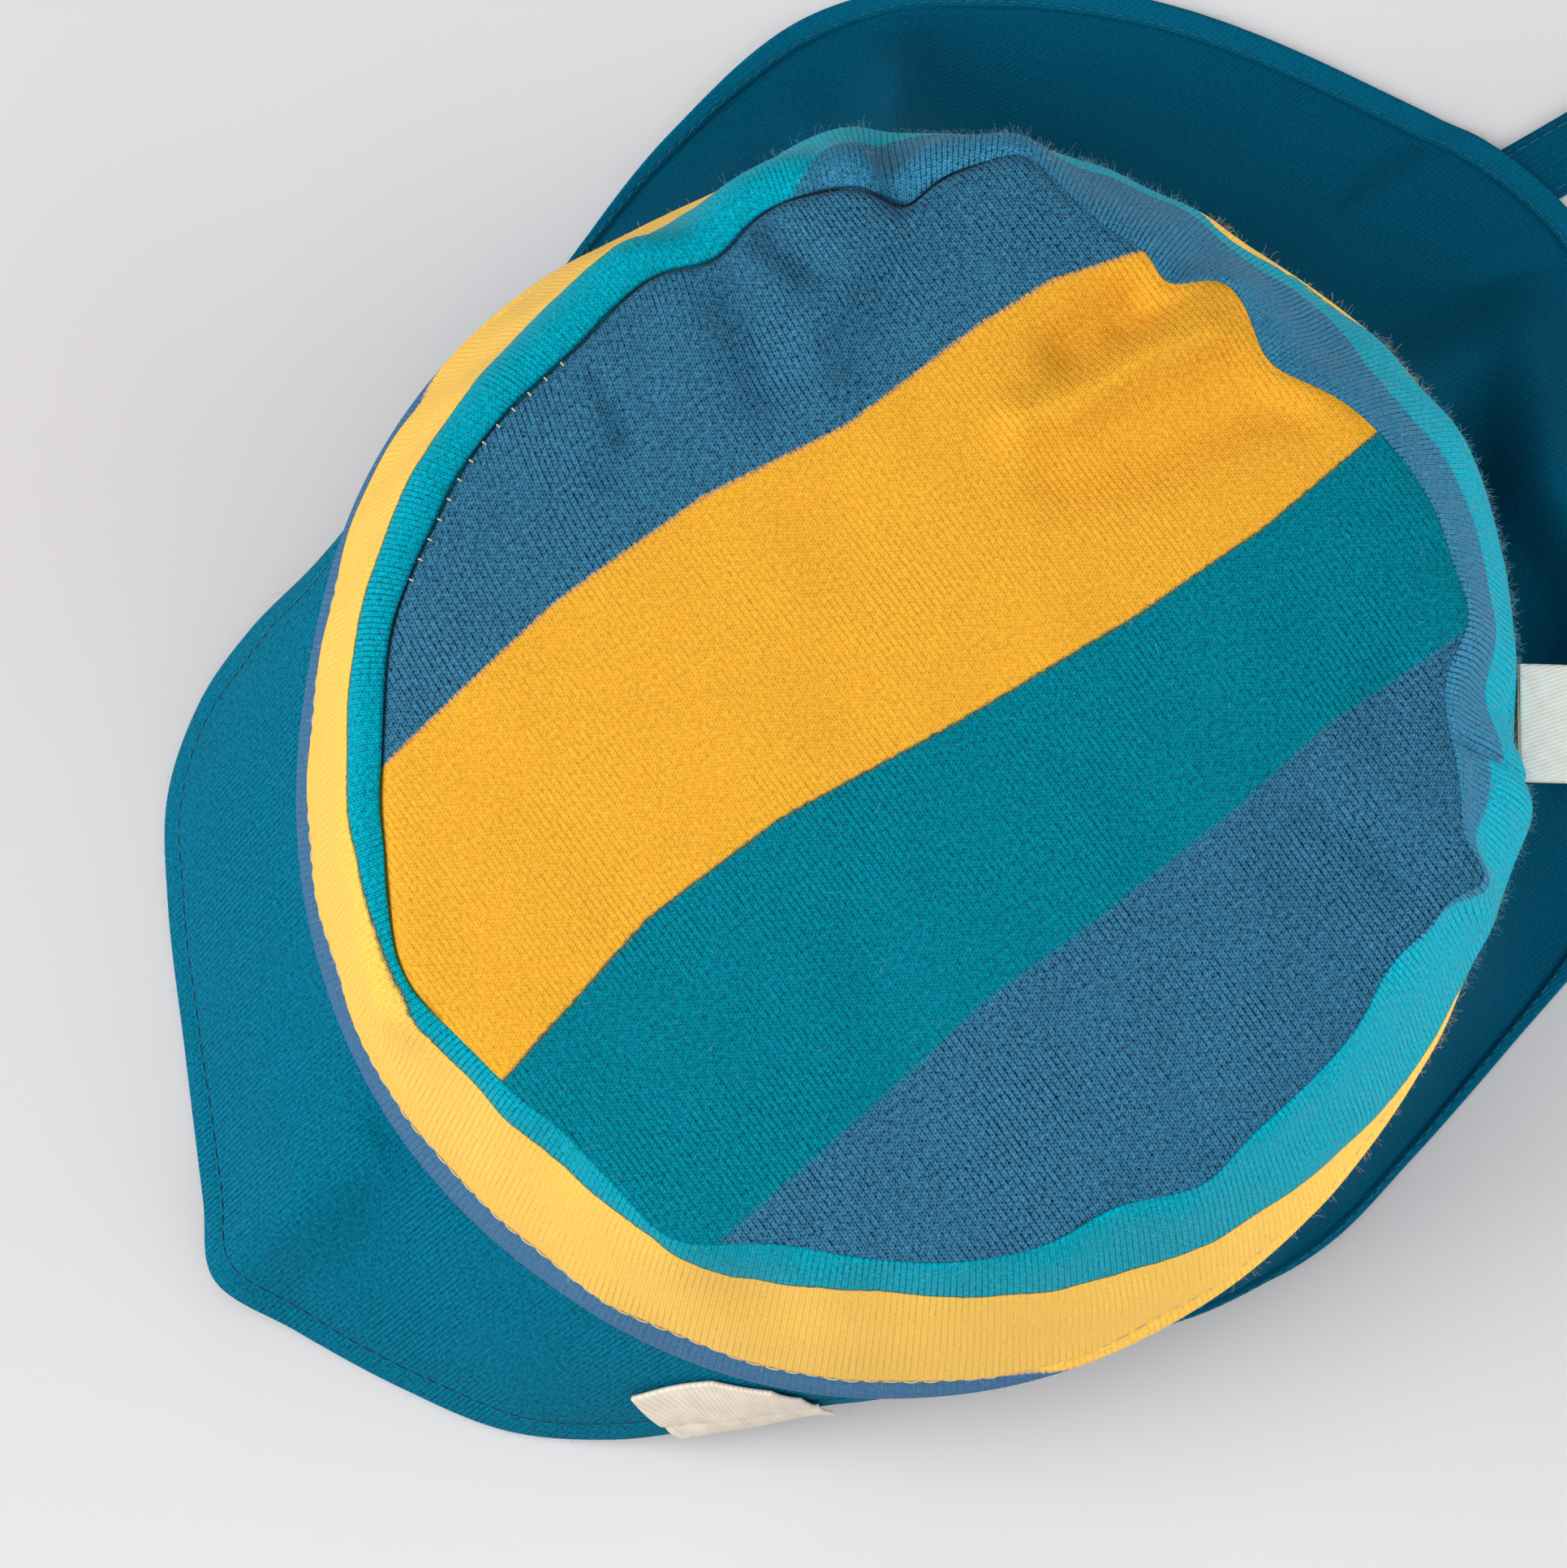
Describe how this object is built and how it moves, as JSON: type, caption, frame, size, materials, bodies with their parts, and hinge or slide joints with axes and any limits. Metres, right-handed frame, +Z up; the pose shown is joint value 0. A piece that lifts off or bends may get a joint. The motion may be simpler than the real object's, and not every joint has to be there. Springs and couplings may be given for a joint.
{
  "type": "flap sun hat",
  "caption": "Child's soft jersey sun hat lying on a table: domed striped crown, creased front peak, flared neck flap with a stitched hem, flat ties and small bare woven labels.",
  "frame": {"origin": "on the table, under the middle of the hat's box", "axes": "+Z up, -Y towards the peak, +Y towards the neck flap and the tie's free end, +X the side of the side label"},
  "size_m": [0.1802, 0.278, 0.1116],
  "materials": {
    "tip_jersey": "cotton jersey in wide stripes of yellow, teal and blue, fine ribs across the stripes",
    "band_jersey": "the same striped cotton jersey, its stripes running round the head",
    "peak_jersey": "plain teal cotton jersey, two plies, topstitched near the edge",
    "flap_jersey": "plain dark teal cotton jersey with a turned and stitched hem",
    "tie_jersey": "strip of the flap's jersey, folded and stitched along both edges",
    "label_weave": "bare off-white woven tape"
  },
  "bodies": {
    "root": {"crown_tip": "tip_jersey", "crown_band": "band_jersey", "peak": "peak_jersey", "neck_flap": "flap_jersey", "tie_left": "tie_jersey", "tie_right": "tie_jersey", "side_label": "label_weave", "back_label": "label_weave"}
  },
  "joints": []
}
